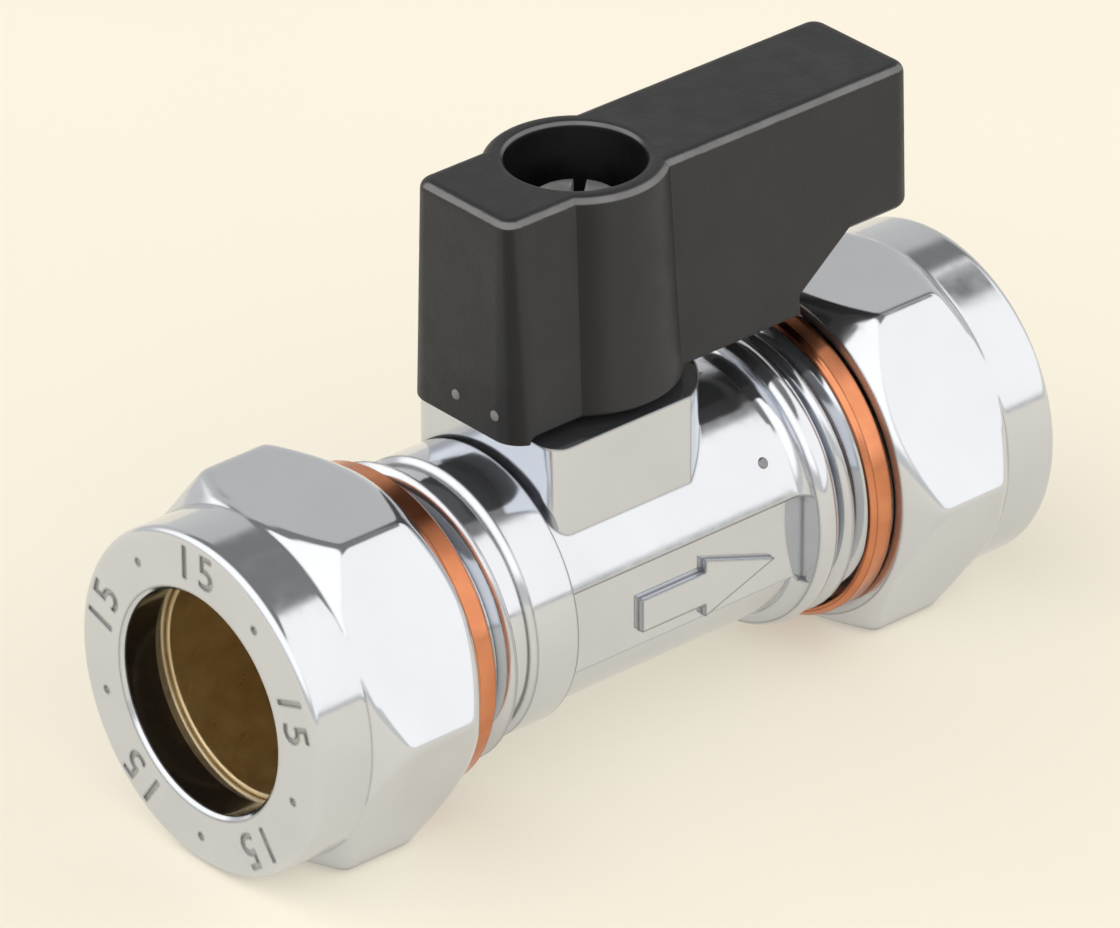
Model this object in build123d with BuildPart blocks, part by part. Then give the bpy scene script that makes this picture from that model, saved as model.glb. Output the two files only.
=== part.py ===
from build123d import *
from math import radians, sqrt, tan
import os

# Lever operated isolating ball valve for 15 mm pipe, with a compression nut at each end.
# The pipe axis is X, from the inlet at -X to the outlet at +X. The spindle axis is Z.
# The origin is the centre of the ball, where the two axes cross. All lengths are in mm.

# Pipe and end thread
pipe_radius = 7.5
pipe_clearance = 0.1
thread_crest_radius = 10.48
thread_depth = 1.16
thread_clearance = 0.07
seat_gap = 0.1

# Valve body along the pipe axis, measured from the spindle axis
body_half_length = 24.6
centre_to_inlet_collar = 8.4
centre_to_outlet_neck = 11.3
inlet_collar_length = 3.9
neck_radius = 1.0
outlet_collar_length = 1.7
pipe_stop_distance = 12.3

# Valve body across the pipe axis
centre_radius = 9.2
inlet_collar_radius = 9.85
outlet_collar_bulge = 0.35
collar_chamfer = 0.4
thread_lead = 0.3
chamber_end = 8.3

# Flat panel with the flow arrow, on the front of the body
panel_distance = 8.5
panel_top = 2.6
panel_bottom = -4.0
arrow_height = 0.45
arrow_start = -2.1
arrow_head_start = 3.4
arrow_tip = 9.5
arrow_centre_z = -1.2
arrow_tail_width = 2.4
arrow_head_width = 4.2

# Spindle boss: round towards the outlet, square towards the inlet, flat at the front and back
boss_radius = 8.0
boss_flat_distance = 7.1
boss_shoulder = 8.2
boss_top = 12.3
boss_corner_radius = 1.4

# Ball and its seats
ball_radius = 6.9
bore_radius = 4.2
ball_clearance = 0.03
ball_side_gap = 0.4
ball_slot_width = 2.8
ball_slot_depth = 1.9
seat_inner_face = 4.3
seat_back_face = 7.3
seat_clearance = 0.05
seat_ring_section = 0.45
driver_slot_width = 1.6
driver_slot_depth = 1.2

# Spindle and its seals
stem_radius = 2.8
stem_clearance = 0.05
flange_radius = 3.9
flange_thickness = 1.08
flange_to_ball = 0.12
flange_clearance = 0.06
thrust_washer_thickness = 0.35
tang_width = 2.6
tang_length = 7.0
tang_gap = 0.15
seal_section = 0.36
seal_spacing = 1.5
seal_groove_width = 1.0
drive_flats = 4.0
drive_start = 13.3
drive_clearance = 0.05

# Lever handle
handle_top = 28.4
handle_underside = 13.1
short_end_underside = 12.5
long_arm_underside = 13.7
side_draft = 3.5
end_draft = 0.5
bar_width = 9.2
bar_corner_radius = 1.1
short_end_reach = 9.8
long_arm_reach = 25.1
hub_radius = 6.1
hub_recess_radius = 4.66
hub_rim_radius = 0.45
top_edge_radius = 0.75
recess_floor = 21.4
recess_floor_thickness = 1.4
cutaway_start = 14.7
cutaway_step = 15.1
cutaway_end = 18.8
raised_underside = 18.1
raised_edge_radius = 0.6
short_end_skirt = 1.3
core_wall = 1.5
core_roof = 1.6
core_start = 8.4
core_corner_radius = 0.6
core_rib_place = 16.0
core_rib_thickness = 1.2

# Quarter turn stop: a lug under the hub runs in a groove in the top of the boss
stop_inner_radius = 3.9
stop_outer_radius = 5.4
stop_clearance = 0.2
stop_lug_angle = 20.0
stop_spare_angle = 2.0
stop_groove_floor = 11.3
quarter_turn = 90.0

# Handle screw and washer
screw_radius = 1.95
screw_hole_clearance = 0.15
screw_thread_clearance = 0.03
screw_head_radius = 3.2
screw_head_height = 2.5
screw_head_dome = 0.5
screw_length = 8.5
screw_slot_width = 0.9
screw_slot_depth = 1.1
screw_slot_angle = 131.0
washer_radius = 3.7
washer_thickness = 0.7

# Compression nut
nut_length = 13.8
nut_across_flats = 24.0
nut_edge_radius = 0.7
nut_flange_length = 4.4
nut_flange_radius = 11.95
nut_flange_edge = 0.6
nut_hole_clearance = 0.2
nut_hole_land = 2.7
nut_hole_chamfer = 0.3
nut_corner_angle = 45.0
nut_face_inset = 0.3
nut_thread_end_gap = 0.7
nut_mouth_chamfer = 0.4

# Olive and copper ring
olive_radius = 8.7
olive_land = 1.6
olive_taper_length = 2.4
olive_edge_thickness = 0.35
olive_beyond_mouth = 0.5
ring_thickness = 0.6
ring_width = 2.0
ring_bevel = 0.35
ring_gap = 0.05

# Worked out from the sizes above
socket_radius = pipe_radius + pipe_clearance
thread_root_radius = thread_crest_radius - thread_depth
thread_bore_radius = thread_crest_radius + thread_clearance
chamber_radius = ball_radius + ball_side_gap
seat_ring_radius = chamber_radius - seat_clearance - seat_ring_section
ball_slot_floor = ball_radius - ball_slot_depth
flange_bottom = ball_radius + flange_to_ball
flange_top = flange_bottom + flange_thickness
seal_heights = {"lower": flange_top + seal_spacing, "upper": flange_top + 2 * seal_spacing}
olive_slope = (olive_radius - socket_radius - olive_edge_thickness) / olive_taper_length
olive_centre = body_half_length + olive_beyond_mouth
olive_half_length = olive_land / 2 + olive_taper_length
cone_radius = olive_radius + seat_gap
nut_hole_radius = pipe_radius + nut_hole_clearance
nut_cone_start = olive_centre + olive_land / 2
nut_cone_end = nut_cone_start + (cone_radius - nut_hole_radius) / olive_slope
nut_outer_face = nut_cone_end + nut_hole_land
nut_inner_face = nut_outer_face - nut_length
nut_corner_radius = nut_across_flats / sqrt(3)
ends = {"inlet": -1, "outlet": 1}

os.makedirs("parts", exist_ok=True)

# Valve body: forged brass, turned outside and bored from both ends
with BuildPart() as valve_body:
    inlet_collar_end = centre_to_inlet_collar + inlet_collar_length
    neck_end = centre_to_outlet_neck + neck_radius
    outlet_collar_end = neck_end + outlet_collar_length
    outlet_collar_radius = centre_radius + neck_radius
    with BuildSketch(Plane.XZ):
        with BuildLine():
            Polyline(
                (-body_half_length, 0),
                (-body_half_length, thread_root_radius - thread_lead),
                (-body_half_length + thread_lead, thread_root_radius),
                (-inlet_collar_end, thread_root_radius),
                (-inlet_collar_end, inlet_collar_radius - collar_chamfer),
                (-inlet_collar_end + collar_chamfer, inlet_collar_radius),
                (-centre_to_inlet_collar, inlet_collar_radius),
                (-centre_to_inlet_collar, centre_radius),
                (centre_to_outlet_neck, centre_radius),
            )
            RadiusArc((centre_to_outlet_neck, centre_radius), (neck_end, outlet_collar_radius), -neck_radius)
            ThreePointArc(
                (neck_end, outlet_collar_radius),
                (neck_end + outlet_collar_length / 2, outlet_collar_radius + outlet_collar_bulge),
                (outlet_collar_end, outlet_collar_radius),
            )
            Polyline(
                (outlet_collar_end, outlet_collar_radius),
                (outlet_collar_end, thread_root_radius),
                (body_half_length - thread_lead, thread_root_radius),
                (body_half_length, thread_root_radius - thread_lead),
                (body_half_length, 0),
                (-body_half_length, 0),
            )
        make_face()
    revolve(axis=Axis.X)
    # flat panel between the inlet collar and the outlet collar
    with BuildSketch(Plane.XZ.offset(panel_distance)):
        with Locations(((neck_end - centre_to_inlet_collar) / 2, (panel_top + panel_bottom) / 2)):
            Rectangle(neck_end + centre_to_inlet_collar, panel_top - panel_bottom)
    extrude(amount=centre_radius, mode=Mode.SUBTRACT)
    # spindle boss
    with BuildSketch():
        Circle(boss_radius)
        with Locations((-boss_shoulder / 2, 0)):
            Rectangle(boss_shoulder, 2 * boss_radius)
        Rectangle(2 * boss_radius, 2 * boss_flat_distance, mode=Mode.INTERSECT)
        shoulder_corners = vertices().group_by(Axis.X)[0]
        fillet(shoulder_corners, boss_corner_radius)
    extrude(amount=boss_top)
    # raised flow arrow
    with BuildSketch(Plane.XZ.offset(panel_distance)):
        with BuildLine():
            Polyline(
                (arrow_start, arrow_centre_z + arrow_tail_width / 2),
                (arrow_head_start, arrow_centre_z + arrow_tail_width / 2),
                (arrow_head_start, arrow_centre_z + arrow_head_width / 2),
                (arrow_tip, arrow_centre_z),
                (arrow_head_start, arrow_centre_z - arrow_head_width / 2),
                (arrow_head_start, arrow_centre_z - arrow_tail_width / 2),
                (arrow_start, arrow_centre_z - arrow_tail_width / 2),
                close=True,
            )
        make_face()
    extrude(amount=arrow_height)
    # pipe sockets, their cones for the olives, the ball chamber and the waterway
    with BuildSketch(Plane.XZ):
        with BuildLine():
            cone_mouth_radius = cone_radius + (body_half_length - olive_centre + olive_land / 2) * olive_slope
            cone_length = (cone_mouth_radius - socket_radius) / olive_slope
            Polyline(
                (-body_half_length, 0),
                (-body_half_length, cone_mouth_radius),
                (-body_half_length + cone_length, socket_radius),
                (-pipe_stop_distance, socket_radius),
                (-pipe_stop_distance, chamber_radius),
                (chamber_end, chamber_radius),
                (chamber_end, bore_radius),
                (pipe_stop_distance, bore_radius),
                (pipe_stop_distance, socket_radius),
                (body_half_length - cone_length, socket_radius),
                (body_half_length, cone_mouth_radius),
                (body_half_length, 0),
                close=True,
            )
        make_face()
    revolve(axis=Axis.X, mode=Mode.SUBTRACT)
    # recess for the spindle's flange, and the stem's hole
    flange_recess_top = flange_top + thrust_washer_thickness + flange_clearance
    with BuildSketch():
        Circle(flange_radius + flange_clearance)
    extrude(amount=flange_recess_top, mode=Mode.SUBTRACT)
    with BuildSketch():
        Circle(stem_radius + stem_clearance)
    extrude(amount=boss_top, mode=Mode.SUBTRACT)
    # groove for the handle's stop lug
    groove_sweep = quarter_turn + stop_lug_angle + 2 * stop_spare_angle
    groove_start = -stop_lug_angle / 2 - stop_spare_angle
    with BuildSketch(Plane.XY.offset(stop_groove_floor)):
        with BuildLine():
            inner_arc = CenterArc((0, 0), stop_inner_radius - stop_clearance, groove_start, groove_sweep)
            outer_arc = CenterArc((0, 0), stop_outer_radius + stop_clearance, groove_start, groove_sweep)
            Line(inner_arc @ 0, outer_arc @ 0)
            Line(inner_arc @ 1, outer_arc @ 1)
        make_face()
    extrude(amount=boss_top - stop_groove_floor, mode=Mode.SUBTRACT)
valve_body.part.label = "valve_body"
export_step(valve_body.part, "parts/valve_body.step")

# Seat retainer: screwed ring with two driver slots, which is also the inlet's pipe stop
with BuildPart() as seat_retainer:
    with BuildSketch(Plane.YZ.offset(-pipe_stop_distance)):
        Circle(chamber_radius - seat_clearance)
        Circle(bore_radius, mode=Mode.SUBTRACT)
    extrude(amount=pipe_stop_distance - chamber_end)
    with BuildSketch(Plane.YZ.offset(-pipe_stop_distance)):
        Rectangle(2 * chamber_radius, driver_slot_width)
    extrude(amount=driver_slot_depth, mode=Mode.SUBTRACT)
seat_retainer.part.label = "seat_retainer"
export_step(seat_retainer.part, "parts/seat_retainer.step")

# Ball: drilled through along the pipe when open, slotted across the top for the spindle's tang
with BuildPart() as ball:
    Sphere(ball_radius)
    with BuildSketch(Plane.YZ.offset(-ball_radius)):
        Circle(bore_radius)
    extrude(amount=2 * ball_radius, mode=Mode.SUBTRACT)
    with BuildSketch(Plane.XY.offset(ball_slot_floor)):
        Rectangle(ball_slot_width, 2 * ball_radius)
    extrude(amount=ball_radius, mode=Mode.SUBTRACT)
ball.part.label = "ball"
export_step(ball.part, "parts/ball.step")

# Ball seats: plastic rings with a hollow face that fits the ball
# Seat rings: the elastic rings behind them
for end, side in ends.items():
    with BuildPart() as ball_seat:
        hollow_radius = ball_radius + ball_clearance
        hollow_start = (side * seat_inner_face, sqrt(hollow_radius**2 - seat_inner_face**2))
        hollow_end = (side * sqrt(hollow_radius**2 - bore_radius**2), bore_radius)
        with BuildSketch(Plane.XZ):
            with BuildLine():
                RadiusArc(hollow_start, hollow_end, side * hollow_radius)
                Polyline(
                    hollow_end,
                    (side * seat_back_face, bore_radius),
                    (side * seat_back_face, chamber_radius - seat_clearance),
                    (side * seat_inner_face, chamber_radius - seat_clearance),
                    hollow_start,
                )
            make_face()
        revolve(axis=Axis.X)
    ball_seat.part.label = f"ball_seat_{end}"
    export_step(ball_seat.part, f"parts/ball_seat_{end}.step")

    with BuildPart() as seat_o_ring:
        with BuildSketch(Plane.XZ):
            with Locations((side * (seat_back_face + chamber_end) / 2, seat_ring_radius)):
                Circle(seat_ring_section)
        revolve(axis=Axis.X)
    seat_o_ring.part.label = f"seat_o_ring_{end}"
    export_step(seat_o_ring.part, f"parts/seat_o_ring_{end}.step")

# Spindle: turned stem, its flange held inside the body, a tang below and two flats above
with BuildPart() as spindle:
    spindle_top = recess_floor - recess_floor_thickness
    groove_radius = stem_radius + stem_clearance - 2 * seal_section - ball_clearance
    with BuildSketch(Plane.XY.offset(flange_bottom)):
        Circle(flange_radius)
    extrude(amount=flange_top - flange_bottom)
    with BuildSketch(Plane.XY.offset(flange_top)):
        Circle(stem_radius)
    extrude(amount=spindle_top - drive_clearance - flange_top)
    for height in seal_heights.values():
        with BuildSketch(Plane.XY.offset(height - seal_groove_width / 2)):
            Circle(stem_radius)
            Circle(groove_radius, mode=Mode.SUBTRACT)
        extrude(amount=seal_groove_width, mode=Mode.SUBTRACT)
    with BuildSketch(Plane.XY.offset(drive_start)):
        Rectangle(2 * stem_radius, 2 * stem_radius)
        Rectangle(2 * stem_radius, drive_flats, mode=Mode.SUBTRACT)
    extrude(amount=spindle_top - drive_start, mode=Mode.SUBTRACT)
    with BuildSketch(Plane.XY.offset(ball_slot_floor + tang_gap)):
        Rectangle(tang_width, tang_length)
    extrude(amount=flange_bottom - ball_slot_floor - tang_gap)
    with BuildSketch(Plane.XY.offset(recess_floor + washer_thickness - screw_length - drive_clearance)):
        Circle(screw_radius + screw_thread_clearance)
    extrude(amount=screw_length, mode=Mode.SUBTRACT)
spindle.part.label = "spindle"
export_step(spindle.part, "parts/spindle.step")

# Thrust washer between the spindle's flange and the body
with BuildPart() as spindle_thrust_washer:
    with BuildSketch(Plane.XY.offset(flange_top + flange_clearance / 2)):
        Circle(flange_radius)
        Circle(stem_radius + stem_clearance, mode=Mode.SUBTRACT)
    extrude(amount=thrust_washer_thickness)
spindle_thrust_washer.part.label = "spindle_thrust_washer"
export_step(spindle_thrust_washer.part, "parts/spindle_thrust_washer.step")

# Stem seals
for place, height in seal_heights.items():
    with BuildPart() as spindle_o_ring:
        with BuildSketch(Plane.XZ):
            with Locations((groove_radius + seal_section, height)):
                Circle(seal_section)
        revolve(axis=Axis.Z)
    spindle_o_ring.part.label = f"spindle_o_ring_{place}"
    export_step(spindle_o_ring.part, f"parts/spindle_o_ring_{place}.step")

# Handle: moulded bar with draft on every side, a round hub and a cut-away underside that clears the nut
with BuildPart() as handle:
    bar_height = handle_top - short_end_underside
    side_flare = bar_height * tan(radians(side_draft))
    end_flare = bar_height * tan(radians(end_draft))
    bar_length = long_arm_reach + short_end_reach
    bar_centre = ((long_arm_reach - short_end_reach) / 2, 0)
    with BuildSketch(Plane.XY.offset(short_end_underside)):
        with Locations(bar_centre):
            RectangleRounded(bar_length + 2 * end_flare, bar_width + 2 * side_flare, bar_corner_radius + side_flare)
    with BuildSketch(Plane.XY.offset(handle_top)):
        with Locations(bar_centre):
            RectangleRounded(bar_length, bar_width, bar_corner_radius)
    loft(ruled=True)
    hub_height = handle_top - handle_underside
    hub_foot_radius = hub_radius + hub_height * tan(radians(side_draft))
    with BuildSketch(Plane.XY.offset(handle_underside)):
        Circle(hub_foot_radius)
    extrude(amount=hub_height, taper=side_draft)
    fillet(faces().sort_by(Axis.Z)[-1].outer_wire().edges(), top_edge_radius)
    # underside: level below the hub, then a step and a slope up to the raised end of the long arm
    with BuildSketch(Plane.XZ):
        with BuildLine():
            skirt_end = -short_end_reach - end_flare + short_end_skirt
            skirt_curve = handle_underside - short_end_underside
            skirt_curve_end = (skirt_end + skirt_curve, handle_underside)
            RadiusArc((skirt_end, short_end_underside), skirt_curve_end, skirt_curve)
            Polyline(
                skirt_curve_end,
                (cutaway_start, handle_underside),
                (cutaway_start, cutaway_step),
                (cutaway_end, raised_underside),
                (bar_length, raised_underside),
                (bar_length, short_end_underside),
                (skirt_end, short_end_underside),
            )
        make_face()
    extrude(amount=bar_width, both=True, mode=Mode.SUBTRACT)
    raised_face = faces().filter_by(Axis.Z).group_by(Axis.X)[-1].sort_by(Axis.Z)[0]
    fillet(raised_face.edges().group_by(Axis.X)[-1], raised_edge_radius)
    # the long arm's underside lies a little above the foot of the hub
    with BuildSketch(Plane.XY.offset(handle_underside)):
        with Locations((bar_length / 2, 0)):
            Rectangle(bar_length, 2 * bar_width)
        Circle(hub_foot_radius, mode=Mode.SUBTRACT)
    extrude(amount=long_arm_underside - handle_underside, mode=Mode.SUBTRACT)
    # two pockets that core out the long arm from below, with a rib between them
    core_end = long_arm_reach - core_wall
    core_width = bar_width - 2 * core_wall
    pockets = (
        (core_start, core_rib_place - core_rib_thickness / 2),
        (core_rib_place + core_rib_thickness / 2, core_end),
    )
    with BuildSketch(Plane.XY.offset(handle_underside)):
        for pocket_start, pocket_end in pockets:
            with Locations(((pocket_start + pocket_end) / 2, 0)):
                RectangleRounded(pocket_end - pocket_start, core_width, core_corner_radius)
    extrude(amount=handle_top - core_roof - handle_underside, mode=Mode.SUBTRACT)
    # screw recess, screw hole and the socket for the spindle's flats
    with BuildSketch(Plane.XY.offset(recess_floor)):
        Circle(hub_recess_radius)
    extrude(amount=handle_top - recess_floor, mode=Mode.SUBTRACT)
    with BuildSketch(Plane.XY.offset(handle_underside)):
        Circle(screw_radius + screw_hole_clearance)
    extrude(amount=recess_floor - handle_underside, mode=Mode.SUBTRACT)
    with BuildSketch(Plane.XY.offset(handle_underside)):
        Circle(stem_radius + drive_clearance)
        Rectangle(3 * stem_radius, drive_flats + 2 * drive_clearance, mode=Mode.INTERSECT)
    extrude(amount=spindle_top - handle_underside, mode=Mode.SUBTRACT)
    with BuildSketch(Plane.XY.offset(handle_underside)):
        Circle(stem_radius + drive_clearance)
    extrude(amount=drive_start - handle_underside + drive_clearance, mode=Mode.SUBTRACT)
    fillet(edges().filter_by(GeomType.CIRCLE).group_by(Axis.Z)[-1].sort_by(SortBy.LENGTH)[-1], hub_rim_radius)
    # stop lug, at the back when the valve is open
    with BuildSketch(Plane.XY.offset(stop_groove_floor + stop_clearance)):
        with BuildLine():
            lug_start = quarter_turn - stop_lug_angle / 2
            inner_arc = CenterArc((0, 0), stop_inner_radius, lug_start, stop_lug_angle)
            outer_arc = CenterArc((0, 0), stop_outer_radius, lug_start, stop_lug_angle)
            Line(inner_arc @ 0, outer_arc @ 0)
            Line(inner_arc @ 1, outer_arc @ 1)
        make_face()
    extrude(amount=handle_underside - stop_groove_floor)
handle.part.label = "handle"
export_step(handle.part, "parts/handle.step")

# Washer and slotted screw that hold the handle on the spindle
with BuildPart() as handle_washer:
    with BuildSketch(Plane.XY.offset(recess_floor)):
        Circle(washer_radius)
        Circle(screw_radius + screw_hole_clearance, mode=Mode.SUBTRACT)
    extrude(amount=washer_thickness)
handle_washer.part.label = "handle_washer"
export_step(handle_washer.part, "parts/handle_washer.step")

with BuildPart() as handle_screw:
    head_base = recess_floor + washer_thickness
    with BuildSketch(Plane.XY.offset(head_base)):
        Circle(screw_head_radius)
    extrude(amount=screw_head_height)
    fillet(faces().sort_by(Axis.Z)[-1].edges(), screw_head_dome)
    with BuildSketch(Plane.XY.offset(head_base + screw_head_height - screw_slot_depth)):
        Rectangle(2 * screw_head_radius, screw_slot_width, rotation=screw_slot_angle)
    extrude(amount=screw_slot_depth, mode=Mode.SUBTRACT)
    with BuildSketch(Plane.XY.offset(head_base)):
        Circle(screw_radius)
    extrude(amount=-screw_length + screw_hole_clearance)
handle_screw.part.label = "handle_screw"
export_step(handle_screw.part, "parts/handle_screw.step")

for end, side in ends.items():
    # Compression nut: hexagon with coned corners, a round flange, an internal thread bore and a cone
    with BuildPart() as nut:
        with BuildSketch(Plane.YZ.offset(side * nut_inner_face)):
            RegularPolygon(nut_across_flats / 2, 6, major_radius=False)
        extrude(amount=side * nut_length)
        fillet(edges().filter_by(Axis.X), nut_edge_radius)
        # turned outline: coned corners at both ends of the hexagon, then the flange with its rounded edge
        corner_run = (nut_corner_radius - nut_across_flats / 2) * tan(radians(nut_corner_angle))
        inset_run = nut_face_inset * tan(radians(nut_corner_angle))
        flange_start = nut_outer_face - nut_flange_length
        with BuildSketch(Plane.XZ):
            with BuildLine():
                edge_start = (side * (nut_outer_face - nut_flange_edge), nut_flange_radius)
                edge_end = (side * nut_outer_face, nut_flange_radius - nut_flange_edge)
                Polyline(
                    (side * nut_outer_face, 0),
                    (side * nut_inner_face, 0),
                    (side * nut_inner_face, nut_across_flats / 2 - nut_face_inset),
                    (side * (nut_inner_face + inset_run + corner_run), nut_corner_radius),
                    (side * (flange_start - corner_run), nut_corner_radius),
                    (side * flange_start, nut_flange_radius),
                    edge_start,
                )
                RadiusArc(edge_start, edge_end, side * nut_flange_edge)
                Line(edge_end, (side * nut_outer_face, 0))
            make_face()
        revolve(axis=Axis.X, mode=Mode.INTERSECT)
        # bore: thread, then the olive's cone, then the pipe's hole
        thread_end = body_half_length + nut_thread_end_gap
        with BuildSketch(Plane.XZ):
            with BuildLine():
                Polyline(
                    (side * nut_inner_face, 0),
                    (side * nut_inner_face, thread_bore_radius + nut_mouth_chamfer),
                    (side * (nut_inner_face + nut_mouth_chamfer), thread_bore_radius),
                    (side * thread_end, thread_bore_radius),
                    (side * thread_end, cone_radius),
                    (side * nut_cone_start, cone_radius),
                    (side * nut_cone_end, nut_hole_radius),
                    (side * (nut_outer_face - nut_hole_chamfer), nut_hole_radius),
                    (side * nut_outer_face, nut_hole_radius + nut_hole_chamfer),
                    (side * nut_outer_face, 0),
                    close=True,
                )
            make_face()
        revolve(axis=Axis.X, mode=Mode.SUBTRACT)
    nut.part.label = f"nut_{end}"
    export_step(nut.part, f"parts/nut_{end}.step")

    # Olive: soft brass ring with a taper at each end
    with BuildPart() as olive:
        with BuildSketch(Plane.XZ):
            with BuildLine():
                edge_radius = socket_radius + olive_edge_thickness
                Polyline(
                    (side * (olive_centre - olive_half_length), socket_radius),
                    (side * (olive_centre - olive_half_length), edge_radius),
                    (side * (olive_centre - olive_land / 2), olive_radius),
                    (side * (olive_centre + olive_land / 2), olive_radius),
                    (side * (olive_centre + olive_half_length), edge_radius),
                    (side * (olive_centre + olive_half_length), socket_radius),
                    close=True,
                )
            make_face()
        revolve(axis=Axis.X)
    olive.part.label = f"olive_{end}"
    export_step(olive.part, f"parts/olive_{end}.step")

    # Copper ring with two bevelled edges, over the thread against the nut
    with BuildPart() as copper_ring:
        ring_outer_radius = thread_bore_radius + ring_thickness
        ring_start = nut_inner_face - ring_gap - ring_width
        with BuildSketch(Plane.XZ):
            with BuildLine():
                Polyline(
                    (side * ring_start, thread_bore_radius),
                    (side * ring_start, ring_outer_radius - ring_bevel),
                    (side * (ring_start + ring_bevel), ring_outer_radius),
                    (side * (ring_start + ring_width - ring_bevel), ring_outer_radius),
                    (side * (ring_start + ring_width), ring_outer_radius - ring_bevel),
                    (side * (ring_start + ring_width), thread_bore_radius),
                    close=True,
                )
            make_face()
        revolve(axis=Axis.X)
    copper_ring.part.label = f"copper_ring_{end}"
    export_step(copper_ring.part, f"parts/copper_ring_{end}.step")
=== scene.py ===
import bmesh
import bpy
import math
from mathutils import Matrix, Vector


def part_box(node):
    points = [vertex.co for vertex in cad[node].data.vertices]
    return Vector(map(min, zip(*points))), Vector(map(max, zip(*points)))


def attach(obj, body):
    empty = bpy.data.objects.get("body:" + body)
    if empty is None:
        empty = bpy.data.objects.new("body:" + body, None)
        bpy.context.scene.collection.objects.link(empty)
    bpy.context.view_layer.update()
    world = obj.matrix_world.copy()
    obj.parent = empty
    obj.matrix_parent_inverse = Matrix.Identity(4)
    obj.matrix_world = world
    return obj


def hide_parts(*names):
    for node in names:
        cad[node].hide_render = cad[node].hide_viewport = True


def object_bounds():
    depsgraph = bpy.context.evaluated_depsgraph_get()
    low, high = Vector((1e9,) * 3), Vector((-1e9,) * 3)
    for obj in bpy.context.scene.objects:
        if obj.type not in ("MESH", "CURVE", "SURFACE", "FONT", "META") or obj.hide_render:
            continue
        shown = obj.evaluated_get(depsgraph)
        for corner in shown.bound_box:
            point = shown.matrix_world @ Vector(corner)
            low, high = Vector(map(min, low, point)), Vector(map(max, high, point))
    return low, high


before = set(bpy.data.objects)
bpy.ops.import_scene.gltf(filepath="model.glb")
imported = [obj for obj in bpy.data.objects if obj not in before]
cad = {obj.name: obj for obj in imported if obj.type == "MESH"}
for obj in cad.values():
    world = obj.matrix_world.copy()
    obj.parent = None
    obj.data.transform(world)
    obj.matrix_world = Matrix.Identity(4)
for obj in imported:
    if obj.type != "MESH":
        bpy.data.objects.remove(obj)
cad_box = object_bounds()

# Valve body. A forged brass body, turned and bored, then chrome plated all over the outside.
# The pipe sockets and the ball's chamber are machined after plating, so bare brass shows there.
plating_light = (0.64, 0.67, 0.73, 1)
plating_dark = (0.61, 0.64, 0.70, 1)
plating_edge_painted_shade = (0.30, 0.31, 0.335, 1)
plating_painted_shade = (0.10, 0.10, 0.11, 1)
brass_light = (0.80, 0.68, 0.47, 1)
brass_dark = (0.66, 0.55, 0.36, 1)
body_bare_radius = 0.0084
body_bare_half_length = 0.03
edge_rounding = 0.00028
edge_ends = (0.999, 0.95)
crevice_reach = 0.0009
crevice_ends = (0.62, 0.2)
crevice_share = 0.75
cloud_ends = (0.3, 0.7)
haze_share = 0.05
bare_roughness = 0.62
plating_ripple_depth = 0.000012


def new_finish(name):
    finish = bpy.data.materials.new(name)
    finish.use_nodes = True
    finish.node_tree.nodes.clear()
    return finish


def step(finish, kind, feeds, **settings):
    """One node of a finish: its settings, then a number or another node's output for each socket."""
    made = finish.node_tree.nodes.new("ShaderNode" + kind)
    for setting, value in settings.items():
        setattr(made, setting, value)
    for socket, value in feeds.items():
        if isinstance(value, bpy.types.NodeSocket):
            finish.node_tree.links.new(value, made.inputs[socket])
        else:
            made.inputs[socket].default_value = value
    return made


def levels(finish, value, first, last, low=0, high=1, way="LINEAR"):
    """A value taken from the range first to last over to the range low to high, and held at its ends."""
    feeds = {"Value": value, "From Min": first, "From Max": last, "To Min": low, "To Max": high}
    return step(finish, "MapRange", feeds, interpolation_type=way).outputs["Result"]


def sums(finish, operation, *values):
    """Arithmetic with plain numbers."""
    return step(finish, "Math", dict(enumerate(values)), operation=operation).outputs["Value"]


def vector_sums(finish, operation, *values):
    """Arithmetic with places and directions that gives a plain number."""
    return step(finish, "VectorMath", dict(enumerate(values)), operation=operation).outputs["Value"]


def place_on(finish):
    """The place on the piece, in metres from the centre of the ball."""
    return step(finish, "TexCoord", {}).outputs["Object"]


def place_along(finish, axis):
    return step(finish, "SeparateXYZ", {"Vector": place_on(finish)}).outputs[axis]


def away_from(finish, axis):
    """Distance of a place on the piece from one of the axes through the centre of the ball."""
    across = {other: place_along(finish, other) for other in "XYZ" if other != axis}
    return vector_sums(finish, "LENGTH", step(finish, "CombineXYZ", across).outputs["Vector"])


def facing(finish):
    """The way that the surface faces."""
    return step(finish, "NewGeometry", {}).outputs["Normal"]


def mottle(finish, scale, detail, low=0, high=1):
    """A cloudy pattern between two levels."""
    cloud = step(finish, "TexNoise", {"Vector": place_on(finish), "Scale": scale, "Detail": detail})
    return levels(finish, cloud.outputs["Fac"], *cloud_ends, low, high)


def between(finish, share, one, other):
    """A colour part of the way from one to the other."""
    # sockets 6 and 7 and output 2 are the colours of this node
    return step(finish, "Mix", {0: share, 6: one, 7: other}, data_type="RGBA").outputs[2]


def softened(finish, rounding):
    """The way that the surface faces, turning smoothly over its edges."""
    return step(finish, "Bevel", {"Radius": rounding}, samples=6).outputs["Normal"]


def edge_share(finish, soft):
    """How much of an edge each point is, from how far the softened surface turns away there."""
    return levels(finish, vector_sums(finish, "DOT_PRODUCT", soft, facing(finish)), *edge_ends)


def crevice(finish, reach):
    """How closed in a point is by the surfaces round it, as a share of painted shade to lay there."""
    open_share = step(finish, "AmbientOcclusion", {"Distance": reach}, samples=4).outputs["AO"]
    return levels(finish, open_share, *crevice_ends, 0, crevice_share)


def relief(finish, height, depth, under):
    """Height over the surface as bumps of a depth in metres."""
    feeds = {"Height": height, "Strength": 1.0, "Distance": depth, "Normal": under}
    return step(finish, "Bump", feeds).outputs["Normal"]


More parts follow.
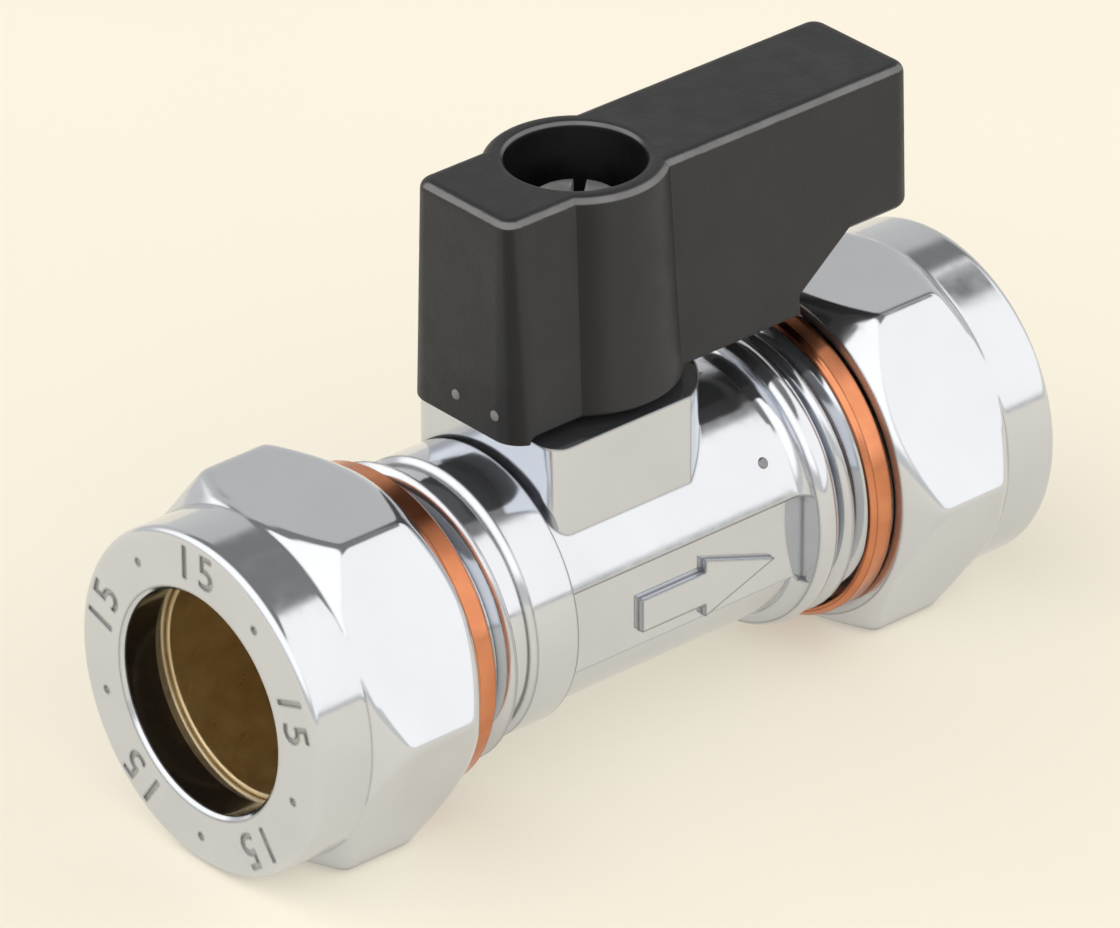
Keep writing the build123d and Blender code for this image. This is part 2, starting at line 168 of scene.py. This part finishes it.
def shade(finish, colour, roughness, normal, **values):
    feeds = {"Base Color": colour, "Roughness": roughness, "Normal": normal, **values}
    shader = step(finish, "BsdfPrincipled", feeds)
    step(finish, "OutputMaterial", {"Surface": shader.outputs["BSDF"]})
    return finish


def wear(node, finish):
    """Puts a finish on a piece."""
    node.data.materials.clear()
    node.data.materials.append(finish)


def within(finish, radius, half_length):
    """1 inside a bore along the pipe axis, and 0 outside it."""
    inner = sums(finish, "LESS_THAN", away_from(finish, "X"), radius)
    along = sums(finish, "ABSOLUTE", place_along(finish, "X"))
    return sums(finish, "MULTIPLY", inner, sums(finish, "LESS_THAN", along, half_length))


def plated_brass(name, bare_radius=0, bare_half_length=0, painted_shade_radius=0, painted_shade_half_length=0):
    """Chrome plating on brass, darkened with painted shade in its crevices and in the mouth of a bore,
    with bare brass further in.
    """
    finish = new_finish(name)
    soft = softened(finish, edge_rounding)
    bare = within(finish, bare_radius, bare_half_length)
    plating = between(finish, mottle(finish, scale=180, detail=3), plating_light, plating_dark)
    # painted shade: the plating's rounded edges are darkened in colour
    plating = between(finish, edge_share(finish, soft), plating, plating_edge_painted_shade)
    # painted shade: the plating is darkened where surfaces round it close it in
    plating = between(finish, crevice(finish, crevice_reach), plating, plating_painted_shade)
    # painted shade: the plating is darkened in the mouth of a bore
    plating = between(finish, within(finish, painted_shade_radius, painted_shade_half_length), plating, plating_painted_shade)
    brass = between(finish, mottle(finish, scale=400, detail=2), brass_light, brass_dark)
    colour = between(finish, bare, plating, brass)
    polish = mottle(finish, scale=900, detail=4, low=0.07, high=0.15)
    roughness = levels(finish, bare, 0, 1, polish, bare_roughness)
    normal = relief(finish, mottle(finish, scale=130, detail=2), plating_ripple_depth, soft)
    return shade(finish, colour, roughness, normal, Metallic=1 - haze_share)


body_plating = plated_brass("body_plating", body_bare_radius, body_bare_half_length)
wear(cad["valve_body"], body_plating)

# Threads on the two spigots. Right-hand pipe thread with a rounded crest, cut before the body is plated.
# Each runs out at the collar and starts with a taper at the spigot's end.
thread_pitch = 0.001814
thread_crest = 0.01048
thread_sunk_foot = 0.00922
thread_flank = math.radians(27.5)
thread_crest_half_width = 0.00011
thread_crest_round = 0.00012
thread_shoulder_share = 0.7
thread_top_share = 0.5
thread_steps_a_turn = 64
thread_run_out_steps = 18
thread_run_out_hidden = 0.28 * thread_pitch
thread_half_foot = thread_crest_half_width + (thread_crest - thread_sunk_foot) * math.tan(thread_flank)
spigot_threads = {"inlet": (-0.02455, -0.0122), "outlet": (0.0139, 0.02455)}
thread_crossings = {end: start + thread_half_foot for end, (start, stop) in spigot_threads.items()}
thread_crease = math.radians(35)
usual_crease = math.radians(28)
same_place = 0.0000005


def shown_mesh(name, made, crease=usual_crease):
    """The finished mesh as an object, smooth except over edges sharper than the crease."""
    bmesh.ops.remove_doubles(made, verts=made.verts, dist=same_place)
    bmesh.ops.recalc_face_normals(made, faces=made.faces)
    mesh = bpy.data.meshes.new(name)
    made.to_mesh(mesh)
    made.free()
    mesh.shade_smooth()
    mesh.set_sharp_from_angle(angle=crease)
    piece = bpy.data.objects.new(name, mesh)
    bpy.context.scene.collection.objects.link(piece)
    return piece


def cut_thread(name, first, last, crossing, crest, sunk_foot):
    """A ridge wound round the pipe axis from first to last, with its middle at the top at the crossing."""
    made = bmesh.new()
    foot = thread_crest_half_width + abs(crest - sunk_foot) * math.tan(thread_flank)
    shoulder = thread_crest_half_width + thread_crest_round * thread_shoulder_share
    shoulder_height = crest - math.copysign(thread_crest_round, crest - sunk_foot)
    top = thread_crest_half_width * thread_top_share
    outline = (
        (-foot, sunk_foot),
        (-shoulder, shoulder_height),
        (-top, crest),
        (top, crest),
        (shoulder, shoulder_height),
        (foot, sunk_foot),
    )
    ring = [made.verts.new((first + x, 0, z)) for x, z in outline]
    section = made.faces.new(ring)
    turned = Matrix.Rotation(math.tau * (first - crossing) / thread_pitch, 4, "X")
    bmesh.ops.transform(made, matrix=turned, verts=ring)
    advance = thread_pitch / thread_steps_a_turn
    steps = int((last - first) / advance)
    bmesh.ops.spin(
        made,
        geom=[section, *section.edges, *section.verts],
        axis=(1, 0, 0),
        dvec=(advance, 0, 0),
        angle=math.tau * steps / thread_steps_a_turn,
        steps=steps,
    )
    # both ends sink into the wall over the last part of a turn
    run = advance * thread_run_out_steps
    for point in made.verts:
        radius = math.hypot(point.co.y, point.co.z)
        along = point.co.x - first
        share = min(1, max(0, (along + foot) / run), max(0, (advance * steps + foot - along) / run))
        height = sunk_foot + (radius - sunk_foot) * share
        point.co.y *= height / radius
        point.co.z *= height / radius
    return shown_mesh(name, made, thread_crease)


thread_plating = plated_brass("thread_plating")
for end, (start, stop) in spigot_threads.items():
    thread = cut_thread(
        f"thread_{end}",
        start + thread_half_foot - thread_run_out_hidden,
        stop - thread_half_foot - thread_run_out_hidden,
        thread_crossings[end],
        thread_crest,
        thread_sunk_foot,
    )
    wear(thread, thread_plating)
    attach(thread, "casing")

# Ejector mark on the forging. One low round pip on the front of the centre section.
# It is part of the forging and plated with it, but its top is dull.
pip_height = 0.00018
pip_steps = 24
pip_round_share = 0.8
pip_round_steps = 4
pip_crease = math.radians(40)
pip_light = (0.34, 0.345, 0.36, 1)
pip_dark = (0.25, 0.255, 0.27, 1)
body_pip_radius = 0.0004
body_pip_along = 0.00966
body_pip_out = 0.00912
body_pip_tilt = math.radians(54.9)
fine_edge_rounding = 0.00003
dull_grain_depth = 0.000004


def raised_disc(made, radius, steps, stand, rise):
    """A closed round disc whose top face, which it returns, is lifted by a vector."""
    disc = bmesh.ops.create_circle(made, cap_ends=True, segments=steps, radius=radius, matrix=stand)
    base = disc["verts"][0].link_faces[0]
    raised = bmesh.ops.extrude_face_region(made, geom=[base], use_keep_orig=True)
    top = next(item for item in raised["geom"] if isinstance(item, bmesh.types.BMFace))
    bmesh.ops.translate(made, verts=top.verts, vec=rise)
    return top


def round_pip(made, radius, height, place, outward):
    """A low round pip with a rounded edge, standing on a surface."""
    turn = Vector((0, 0, 1)).rotation_difference(outward).to_matrix().to_4x4()
    top = raised_disc(made, radius, pip_steps, Matrix.Translation(place) @ turn, outward * height)
    bmesh.ops.bevel(
        made,
        geom=top.edges[:],
        offset=height * pip_round_share,
        offset_type="OFFSET",
        affect="EDGES",
        segments=pip_round_steps,
        profile=0.5,
        material=-1,
    )


def dull_metal(name, light, dark):
    finish = new_finish(name)
    soft = softened(finish, fine_edge_rounding)
    colour = between(finish, mottle(finish, scale=700, detail=3), light, dark)
    colour = between(finish, edge_share(finish, soft), colour, light)
    normal = relief(finish, mottle(finish, scale=2500, detail=2), dull_grain_depth, soft)
    roughness = mottle(finish, scale=900, detail=3, low=0.4, high=0.55)
    return shade(finish, colour, roughness, normal, Metallic=1.0)


made = bmesh.new()
outward = Vector((0, -math.sin(body_pip_tilt), math.cos(body_pip_tilt)))
place = Vector((body_pip_along, 0, 0)) + outward * body_pip_out
round_pip(made, body_pip_radius, pip_height, place, outward)
body_pip = shown_mesh("body_pip", made, pip_crease)
wear(body_pip, dull_metal("pip_metal", pip_light, pip_dark))
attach(body_pip, "casing")

# Ball, its two seats and the rings behind them. The ball is turned brass, ground and chrome plated.
# The seats are white low-friction plastic, and the retainer that holds them in is turned brass.
seat_white = (0.78, 0.77, 0.73, 1)
seat_shadow = (0.62, 0.61, 0.57, 1)
rubber_black = (0.018, 0.018, 0.019, 1)
rubber_bloom = (0.045, 0.045, 0.048, 1)
brass_ring_scale = 2600
brass_ring_depth = 0.000004
soft_grain_depth = 0.000006


def tool_rings(finish, across, scale, waver):
    """The fine rings that a turning tool leaves, which lie across the given axis."""
    feeds = {"Vector": place_on(finish), "Scale": scale, "Distortion": waver, "Detail": 2}
    return step(finish, "TexWave", feeds, bands_direction=across).outputs["Fac"]


def turned_brass(name, light, dark, across):
    finish = new_finish(name)
    soft = softened(finish, edge_rounding)
    colour = between(finish, mottle(finish, scale=500, detail=4), light, dark)
    colour = between(finish, edge_share(finish, soft), colour, light)
    rings = tool_rings(finish, across, brass_ring_scale, waver=0.6)
    normal = relief(finish, rings, brass_ring_depth, soft)
    roughness = mottle(finish, scale=700, detail=3, low=0.26, high=0.42)
    return shade(finish, colour, roughness, normal, Metallic=1.0)


def soft_plastic(name, light, dark, low, high):
    """Cut or moulded polymer with a slightly uneven dull surface, its roughness between two levels."""
    finish = new_finish(name)
    soft = softened(finish, edge_rounding)
    colour = between(finish, mottle(finish, scale=600, detail=4), light, dark)
    colour = between(finish, edge_share(finish, soft), colour, light)
    normal = relief(finish, mottle(finish, scale=4000, detail=3), soft_grain_depth, soft)
    roughness = mottle(finish, scale=900, detail=3, low=low, high=high)
    return shade(finish, colour, roughness, normal)


wear(cad["ball"], plated_brass("ball_plating"))
wear(cad["seat_retainer"], turned_brass("retainer_brass", brass_light, brass_dark, "X"))
seat_finish = soft_plastic("seat_finish", seat_white, seat_shadow, 0.34, 0.5)
seal_finish = soft_plastic("seal_finish", rubber_bloom, rubber_black, 0.5, 0.7)
for end in ("inlet", "outlet"):
    wear(cad[f"ball_seat_{end}"], seat_finish)
    wear(cad[f"seat_o_ring_{end}"], seal_finish)

# Spindle with its thrust washer and two seals. Turned from brass bar, put in from inside the body.
# The two flats at its top drive the handle.
wear(cad["spindle"], turned_brass("spindle_brass", brass_light, brass_dark, "Z"))
wear(cad["spindle_thrust_washer"], seat_finish)
for seal in ("lower", "upper"):
    wear(cad[f"spindle_o_ring_{seal}"], seal_finish)

# Handle. One black plastic moulding with draft on its sides and a fine sparked texture from its mould.
# Its upper front edges carry a painted highlight, and two small ejector pips on its short end wall are
# painted grey as their highlight.
plastic_black = (0.0250, 0.0265, 0.0300, 1)
plastic_deep = (0.0210, 0.0222, 0.0255, 1)
plastic_highlight = (0.19, 0.194, 0.205, 1)
plastic_recess_shade = (0.004, 0.004, 0.0045, 1)
plastic_corner_shade = (0.008, 0.008, 0.008, 1)
plastic_texture_depth = 0.000008
plastic_shine = 0.3
handle_edge_rounding = 0.0003
upright_corner_ends = (0.3, 0.6)
top_edge_ends = (0.35, 0.5)
flat_top_ends = (0.93, 0.8)
highlight_side = (-0.5, -0.87, 0)
highlight_side_ends = (0.12, 0.3)
recess_radius = 0.0048
recess_rim = 0.0281
handle_pip_highlight_grey = (0.20, 0.20, 0.195, 1)
handle_pip_radius = 0.00038
handle_pips_across = (0.0004, -0.0034)
handle_pip_level = 0.0143
handle_pip_sunk = 0.00008


def facing_share(finish, axis, ends):
    """How far the surface faces along or against an axis, as a share between two ends."""
    part = step(finish, "SeparateXYZ", {"Vector": facing(finish)}).outputs[axis]
    return levels(finish, sums(finish, "ABSOLUTE", part), *ends, way="SMOOTHSTEP")


def moulded_plastic(name):
    finish = new_finish(name)
    soft = softened(finish, handle_edge_rounding)
    colour = between(finish, mottle(finish, scale=150, detail=5), plastic_black, plastic_deep)
    # painted shade: the upright rounded corners, between the sides and ends, are darkened
    corner = [facing_share(finish, axis, upright_corner_ends) for axis in "XY"]
    colour = between(finish, sums(finish, "MULTIPLY", *corner), colour, plastic_corner_shade)
    # painted highlight: the top edges that face the front and the inlet end are lightened
    top_edge = [facing_share(finish, "Z", ends) for ends in (top_edge_ends, flat_top_ends)]
    front = vector_sums(finish, "DOT_PRODUCT", facing(finish), highlight_side)
    front = levels(finish, front, *highlight_side_ends)
    highlight_share = sums(finish, "MULTIPLY", sums(finish, "MULTIPLY", *top_edge), front)
    highlight_share = sums(finish, "MULTIPLY", highlight_share, mottle(finish, scale=500, detail=4, low=0.7, high=1))
    colour = between(finish, highlight_share, colour, plastic_highlight)
    # painted shade: the hub's recess below its rim is darkened
    inside = sums(finish, "LESS_THAN", away_from(finish, "Z"), recess_radius)
    below = sums(finish, "LESS_THAN", place_along(finish, "Z"), recess_rim)
    colour = between(finish, sums(finish, "MULTIPLY", inside, below), colour, plastic_recess_shade)
    normal = relief(finish, mottle(finish, scale=3500, detail=2), plastic_texture_depth, soft)
    roughness = mottle(finish, scale=500, detail=4, low=0.4, high=0.52)
    return shade(finish, colour, roughness, normal, **{"Specular IOR Level": plastic_shine})


wear(cad["handle"], moulded_plastic("handle_finish"))
end_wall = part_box("handle")[0].x
made = bmesh.new()
for across in handle_pips_across:
    place = Vector((end_wall + handle_pip_sunk, across, handle_pip_level))
    round_pip(made, handle_pip_radius, pip_height, place, Vector((-1, 0, 0)))
handle_pips = shown_mesh("handle_pips", made, pip_crease)
# painted highlight: the pips are coloured grey although the moulding is black
wear(handle_pips, soft_plastic("pip_painted_highlight", handle_pip_highlight_grey, plastic_highlight, 0.35, 0.5))
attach(handle_pips, "lever")

# Washer and slotted screw at the bottom of the hub's recess. The washer is pressed and the screw turned.
# Both are zinc plated steel, and they hold the handle down on the spindle.
steel_light = (0.86, 0.87, 0.89, 1)
steel_dark = (0.70, 0.71, 0.74, 1)
steel_grain_depth = 0.000006
screw_radius = 0.00195
screw_tip = 0.01375
screw_tip_taper = 0.00035
screw_head_base = 0.0221
screw_head_top = 0.0252
screw_head_radius = 0.0032
screw_head_round = 0.0005
screw_round_steps = 6
screw_slot_width = 0.0009
screw_slot_depth = 0.0013
screw_slot_turn = math.radians(43)
screw_steps = 96


def plated_steel(name):
    finish = new_finish(name)
    soft = softened(finish, edge_rounding)
    colour = between(finish, mottle(finish, scale=700, detail=4), steel_light, steel_dark)
    colour = between(finish, edge_share(finish, soft), colour, steel_light)
    normal = relief(finish, mottle(finish, scale=2500, detail=3), steel_grain_depth, soft)
    roughness = mottle(finish, scale=900, detail=3, low=0.45, high=0.6)
    return shade(finish, colour, roughness, normal, Metallic=1.0)


def mesh_of(piece):
    return bpy.data.meshes.new_from_object(piece.evaluated_get(bpy.context.evaluated_depsgraph_get()))


def cut_away(piece, cutter):
    """Takes the cutter's space out of the piece, and the cut faces get the cutter's finish."""
    cut = piece.modifiers.new("cut", "BOOLEAN")
    cut.object = cutter
    cut.operation = "DIFFERENCE"
    cut.solver = "EXACT"
    cut.material_mode = "TRANSFER"
    done = mesh_of(piece)
    piece.modifiers.clear()
    piece.data = done
    done.shade_smooth()
    done.set_sharp_from_angle(angle=usual_crease)
    bpy.data.objects.remove(cutter)


round_angles = [math.tau / 4 * number / screw_round_steps for number in range(screw_round_steps + 1)]
head_edge = [
    (
        screw_head_radius - screw_head_round * (1 - math.cos(angle)),
        screw_head_top - screw_head_round * (1 - math.sin(angle)),
    )
    for angle in round_angles
]
path = (
    (0, screw_tip),
    (screw_radius - screw_tip_taper, screw_tip),
    (screw_radius, screw_tip + screw_tip_taper),
    (screw_radius, screw_head_base),
    (screw_head_radius, screw_head_base),
    *head_edge,
    (0, screw_head_top),
)
made = bmesh.new()
points = [made.verts.new((radius, 0, level)) for radius, level in path]
edges = [made.edges.new(pair) for pair in zip(points, points[1:])]
bmesh.ops.spin(
    made, geom=[*points, *edges], axis=(0, 0, 1), angle=math.tau, steps=screw_steps, use_merge=True
)
screw = shown_mesh("slotted_screw", made)
steel = plated_steel("steel")
wear(screw, steel)
made = bmesh.new()
bmesh.ops.create_cube(
    made,
    size=1,
    matrix=Matrix.Translation((0, 0, screw_head_top))
    @ Matrix.Rotation(screw_slot_turn, 4, "Z")
    @ Matrix.Diagonal((screw_head_radius * 3, screw_slot_width, screw_slot_depth * 2, 1)),
)
slot_tool = shown_mesh("slot_tool", made)
slot_tool.data.materials.append(steel)
cut_away(screw, slot_tool)
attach(screw, "lever")
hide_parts("handle_screw")
wear(cad["handle_washer"], steel)

# Olives. Soft yellow brass rings, turned, which the nuts squeeze onto the pipes.
# They sit loose between nut and body until a pipe is fitted.
olive_light = (0.80, 0.66, 0.41, 1)
olive_dark = (0.66, 0.52, 0.30, 1)
olive_brass = turned_brass("olive_brass", olive_light, olive_dark, "X")
for end in ("inlet", "outlet"):
    wear(cad[f"olive_{end}"], olive_brass)

# Copper rings. Turned copper with two bevelled edges, slid over the thread against each nut.
# The copper is bare, so it has gone a little darker in patches, and its bevelled edges are darkened with
# painted shade.
copper_light = (0.72, 0.29, 0.15, 1)
copper_dark = (0.48, 0.17, 0.08, 1)
copper_edge_shade = (0.27, 0.08, 0.035, 1)
copper_edge_rounding = 0.00016
copper_ring_scale = 2200
copper_ring_depth = 0.000003


def bare_copper(name):
    finish = new_finish(name)
    soft = softened(finish, copper_edge_rounding)
    patches = mottle(finish, scale=260, detail=5, low=0, high=0.8)
    colour = between(finish, patches, copper_light, copper_dark)
    # painted shade: the ring's bevelled edges are darkened
    colour = between(finish, edge_share(finish, soft), colour, copper_edge_shade)
    rings = tool_rings(finish, "X", copper_ring_scale, waver=0.8)
    normal = relief(finish, rings, copper_ring_depth, soft)
    roughness = mottle(finish, scale=600, detail=4, low=0.14, high=0.24)
    return shade(finish, colour, roughness, normal, Metallic=1.0)


copper = bare_copper("copper")
for end in ("inlet", "outlet"):
    wear(cad[f"copper_ring_{end}"], copper)

# Compression nuts. Hexagon brass nuts with a round flange, turned, tapped and chrome plated.
# Each has its pipe size stamped round its outer face. Plating doesn't reach the thread inside.
nut_length = 0.0138
nut_half_across = 0.012
nut_corner_round = 0.0007
nut_flange_radius = 0.01195
nut_flange_length = 0.0044
nut_flange_round = 0.0006
nut_flange_margin = 0.00008
nut_face_radius = 0.0117
nut_face_margin = 0.00005
nut_hole_radius = 0.0077
nut_hole_chamfer = 0.0003
nut_thread_radius = 0.01055
nut_mouth_chamfer = 0.0004
nut_cone_radius = 0.0088
nut_thread_depth = 0.00682
nut_cone_depth = 0.00622
nut_land_depth = 0.0027
nut_edge_blend = 0.0006
nut_steps = 288
nut_round_steps = 6
nut_ring_gap = 0.00013
nut_bare_radius = 0.0107
nut_bare_half_length = 0.0285
# painted shade darkens the plating in the mouth of the hole, out to these
nut_painted_shade_radius = nut_hole_radius + 0.00004
nut_painted_shade_half_length = 0.0319
nut_thread_crest = 0.00952
nut_thread_sunk_foot = 0.01062
nut_thread_height = nut_thread_sunk_foot - nut_thread_crest
nut_thread_half_foot = thread_crest_half_width + nut_thread_height * math.tan(thread_flank)
mark_words = "15"
mark_count = 5
mark_depth = 0.00013
mark_centre_radius = 0.00985
mark_height = 0.0024
mark_height_share_of_type = 0.7
mark_spacing = 1.25
mark_dot_radius = 0.00026
mark_dot_steps = 20
mark_grey = (0.50, 0.505, 0.52, 1)
mark_grey_dark = (0.38, 0.385, 0.40, 1)


def hexagon_radius(turned):
    """Distance from the axis to a hexagon with rounded corners, at an angle from its top flat."""
    half_angle = math.tau / 12
    from_corner = abs((turned % (math.tau / 6)) - half_angle)
    centre = (nut_half_across - nut_corner_round) / math.cos(half_angle)
    touch = math.atan2(nut_corner_round / 2, centre + nut_corner_round * math.cos(half_angle))
    if from_corner < touch:
        reach = math.sqrt(nut_corner_round**2 - (centre * math.sin(from_corner)) ** 2)
        return centre * math.cos(from_corner) + reach
    return nut_half_across / math.cos(half_angle - from_corner)


def turned_radius(depth):
    """Radius of the turned flange and of the cones at both ends, at a depth from the outer face."""
    if depth < nut_flange_round:
        reach = math.sqrt(nut_flange_round**2 - (nut_flange_round - depth) ** 2)
        return nut_flange_radius - nut_flange_round + reach
    outer_cone = nut_flange_radius + max(0, depth - nut_flange_length)
    return min(outer_cone, nut_face_radius + nut_length - depth)


def nut_blank(name, side, face):
    """The nut as one turned skin whose outside is then pressed to the hexagon."""
    made = bmesh.new()
    bore = (
        (nut_length, nut_face_radius - nut_face_margin),
        (nut_length, nut_thread_radius + nut_mouth_chamfer),
        (nut_length - nut_mouth_chamfer, nut_thread_radius),
        (nut_thread_depth, nut_thread_radius),
        (nut_thread_depth, nut_cone_radius),
        (nut_cone_depth, nut_cone_radius),
        (nut_land_depth, nut_hole_radius),
        (nut_hole_chamfer, nut_hole_radius),
        (0, nut_hole_radius + nut_hole_chamfer),
        (0, nut_flange_radius - nut_flange_round - nut_flange_margin),
    )
    turned = math.tau / 4 / nut_round_steps
    outside = [nut_flange_round * (1 - math.cos(turned * number)) for number in range(nut_round_steps + 1)]
    rings = round(nut_length / nut_ring_gap)
    depths = (nut_length * number / rings for number in range(rings + 1))
    outside += [depth for depth in depths if depth > nut_flange_round]
    path = [*bore, *((depth, turned_radius(depth)) for depth in outside)]
    points = [made.verts.new((side * (face - depth), 0, radius)) for depth, radius in path]
    edges = [made.edges.new(pair) for pair in zip(points, [*points[1:], points[0]])]
    bmesh.ops.spin(
        made, geom=[*points, *edges], axis=(1, 0, 0), angle=math.tau, steps=nut_steps, use_merge=True
    )
    for point in made.verts:
        depth = face - abs(point.co.x)
        radius = math.hypot(point.co.y, point.co.z)
        if radius < nut_face_radius or depth < nut_flange_length:
            continue
        hexagon = hexagon_radius(math.atan2(point.co.y, point.co.z))
        # where hexagon and cone meet, the corner between them is rounded off
        blend = nut_edge_blend * min(1, (depth - nut_flange_length) / nut_edge_blend)
        near = max(0, blend - abs(hexagon - radius))
        pressed = min(hexagon, radius) - (near**2 / blend / 4 if near else 0)
        point.co.y *= pressed / radius
        point.co.z *= pressed / radius
    return shown_mesh(name, made)


def stamp_tool(side, face):
    """The stamp's raised figures and dots, standing through the nut's outer face."""
    figures = bpy.data.curves.new("figures", "FONT")
    figures.body = mark_words
    figures.size = mark_height / mark_height_share_of_type
    figures.space_character = mark_spacing
    figures.align_x = "CENTER"
    figures.align_y = "CENTER"
    figures.extrude = mark_depth
    pattern = bpy.data.objects.new("figures", figures)
    bpy.context.scene.collection.objects.link(pattern)
    flat = mesh_of(pattern)
    bpy.data.objects.remove(pattern)
    upright = Matrix(((0, 0, side), (side, 0, 0), (0, 1, 0))).to_4x4()
    tool = bmesh.new()
    for number in range(mark_count * 2):
        stand = (
            Matrix.Translation((side * face, 0, 0))
            @ Matrix.Rotation(math.pi * number / mark_count, 4, "X")
            @ Matrix.Translation((0, 0, mark_centre_radius))
            @ upright
        )
        # figures and dots take turns round the face
        if number % 2 == 0:
            before = len(tool.verts)
            tool.from_mesh(flat)
            tool.verts.ensure_lookup_table()
            bmesh.ops.transform(tool, matrix=stand, verts=tool.verts[before:])
        else:
            sunk = stand @ Matrix.Translation((0, 0, -mark_depth))
            raised_disc(tool, mark_dot_radius, mark_dot_steps, sunk, (side * 2 * mark_depth, 0, 0))
    return shown_mesh("stamp_tool", tool)


nut_plating = plated_brass(
    "nut_plating", nut_bare_radius, nut_bare_half_length, nut_painted_shade_radius, nut_painted_shade_half_length
)
nut_thread_finish = turned_brass("nut_thread_brass", brass_light, brass_dark, "X")
mark_finish = dull_metal("mark_finish", mark_grey, mark_grey_dark)
for end, side in (("inlet", -1), ("outlet", 1)):
    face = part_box(f"nut_{end}")[(side + 1) // 2].x * side
    nut = nut_blank(f"stamped_nut_{end}", side, face)
    wear(nut, nut_plating)
    stamp = stamp_tool(side, face)
    stamp.data.materials.append(mark_finish)
    cut_away(nut, stamp)
    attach(nut, f"{end}_nut")
    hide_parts(f"nut_{end}")
    # the inside thread lies midway between the turns of the spigot's thread
    walls = sorted((side * (face - nut_length + nut_mouth_chamfer), side * (face - nut_thread_depth)))
    thread = cut_thread(
        f"nut_thread_{end}",
        walls[0] + nut_thread_half_foot,
        walls[1] - nut_thread_half_foot,
        thread_crossings[end] + thread_pitch / 2,
        nut_thread_crest,
        nut_thread_sunk_foot,
    )
    wear(thread, nut_thread_finish)
    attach(thread, f"{end}_nut")

# Studio. A plain pale paper floor that glows a little, and a pale tent that lights the valve softly from
# all sides. The tent has a dark roof, a bright window at the front right with a darker skirting under it,
# and a brighter left side that reaches over the roof. Each fade runs from none to full.
floor_colour = (0.56, 0.53, 0.455, 1)
floor_shade = (0.55, 0.52, 0.445, 1)
floor_glow = 0.405
floor_gap = 0.00002
floor_reach = 4
floor_grain_depth = 0.000004
tent_tint = (1.0, 0.97, 0.915)
wall_heights = (0.1, 0.60)
wall_bright = 0.76
wall_top_bright = 0.66
roof_fade = (0.56, 0.65)
roof_bright = 0.24
left_side_fade = (0.0, 0.25)
left_foot_fade = (0.15, 0.3)
left_side_bright = 1.6
window_heading = math.radians(-50)
window_front_fade = (0.1, 0.2)
window_side_fade = (0.65, 0.58)
window_bottom_fade = (0.03, 0.05)
window_top_fade = (0.79, 0.76)
window_bright = 1.41
skirting_fade = (0.03, 0.01)
skirting_bright = 0.5

paper = new_finish("paper")
paper_colour = between(paper, mottle(paper, scale=20, detail=3), floor_colour, floor_shade)
grain = relief(paper, mottle(paper, scale=2000, detail=2), floor_grain_depth, facing(paper))
glowing = {"Emission Color": paper_colour, "Emission Strength": floor_glow / floor_colour[0]}
shade(paper, paper_colour, mottle(paper, scale=40, detail=2, low=0.8, high=0.9), grain, **glowing)
made = bmesh.new()
floor_place = Matrix.Translation((0, 0, cad_box[0].z - floor_gap))
bmesh.ops.create_grid(made, x_segments=1, y_segments=1, size=floor_reach, matrix=floor_place)
floor = shown_mesh("floor", made)
floor.data.materials.append(paper)

tent = bpy.data.worlds.new("tent")
tent.use_nodes = True
tent.node_tree.nodes.clear()
sight = step(tent, "TexCoord", {}).outputs["Generated"]
height = step(tent, "SeparateXYZ", {"Vector": sight}).outputs["Z"]


def fades(value, fade):
    return levels(tent, value, *fade, way="SMOOTHSTEP")


def towards(x, y):
    """How far the line of sight points along a level direction."""
    return vector_sums(tent, "DOT_PRODUCT", sight, (x, y, 0))


def over(bright, rest, *shares):
    """A brightness laid over the rest where both shares are 1."""
    # sockets 2 and 3 and output 0 are the plain numbers of this node
    return step(tent, "Mix", {0: sums(tent, "MULTIPLY", *shares), 2: rest, 3: bright}).outputs[0]


window_x = math.cos(window_heading)
window_y = math.sin(window_heading)
sideways = sums(tent, "ABSOLUTE", towards(-window_y, window_x))
ahead = fades(towards(window_x, window_y), window_front_fade)
front = sums(tent, "MULTIPLY", ahead, fades(sideways, window_side_fade))
pane = sums(tent, "MULTIPLY", fades(height, window_bottom_fade), fades(height, window_top_fade))
light = levels(tent, height, *wall_heights, wall_bright, wall_top_bright)
light = over(roof_bright, light, fades(height, roof_fade), 1)
light = over(left_side_bright, light, fades(towards(-1, 0), left_side_fade), fades(height, left_foot_fade))
light = over(skirting_bright, light, front, fades(height, skirting_fade))
light = over(window_bright, light, front, pane)
glow = step(tent, "Background", {"Color": (*tent_tint, 1), "Strength": light})
step(tent, "OutputWorld", {"Surface": glow.outputs["Background"]})
bpy.context.scene.world = tent
bpy.context.scene.view_settings.view_transform = "Standard"

# Camera. A long lens that looks down on the valve from its inlet end and front.
# Its angles are those of the photograph.
view_turn = math.radians(-41.107)
view_height = math.radians(29.277)
view_roll = math.radians(-0.179)
view_distance = 0.656231
view_right_shift = -0.001072
view_up_shift = 0.004922
lens_in_picture_widths = 8.92857143

back = Vector(
    (
        math.sin(view_turn) * math.cos(view_height),
        -math.cos(view_turn) * math.cos(view_height),
        math.sin(view_height),
    )
)
level_right = Vector((math.cos(view_turn), math.sin(view_turn), 0))
level_up = back.cross(level_right)
right = level_right * math.cos(view_roll) + level_up * math.sin(view_roll)
up = level_up * math.cos(view_roll) - level_right * math.sin(view_roll)
eye = back * view_distance + right * view_right_shift + up * view_up_shift
lens = bpy.data.cameras.new("camera")
lens.sensor_width = 36
lens.lens = lens.sensor_width * lens_in_picture_widths
lens.clip_start = 0.01
camera = bpy.data.objects.new("camera", lens)
camera.matrix_world = Matrix.Translation(eye) @ Matrix((right, up, back)).transposed().to_4x4()
bpy.context.scene.collection.objects.link(camera)
bpy.context.scene.camera = camera
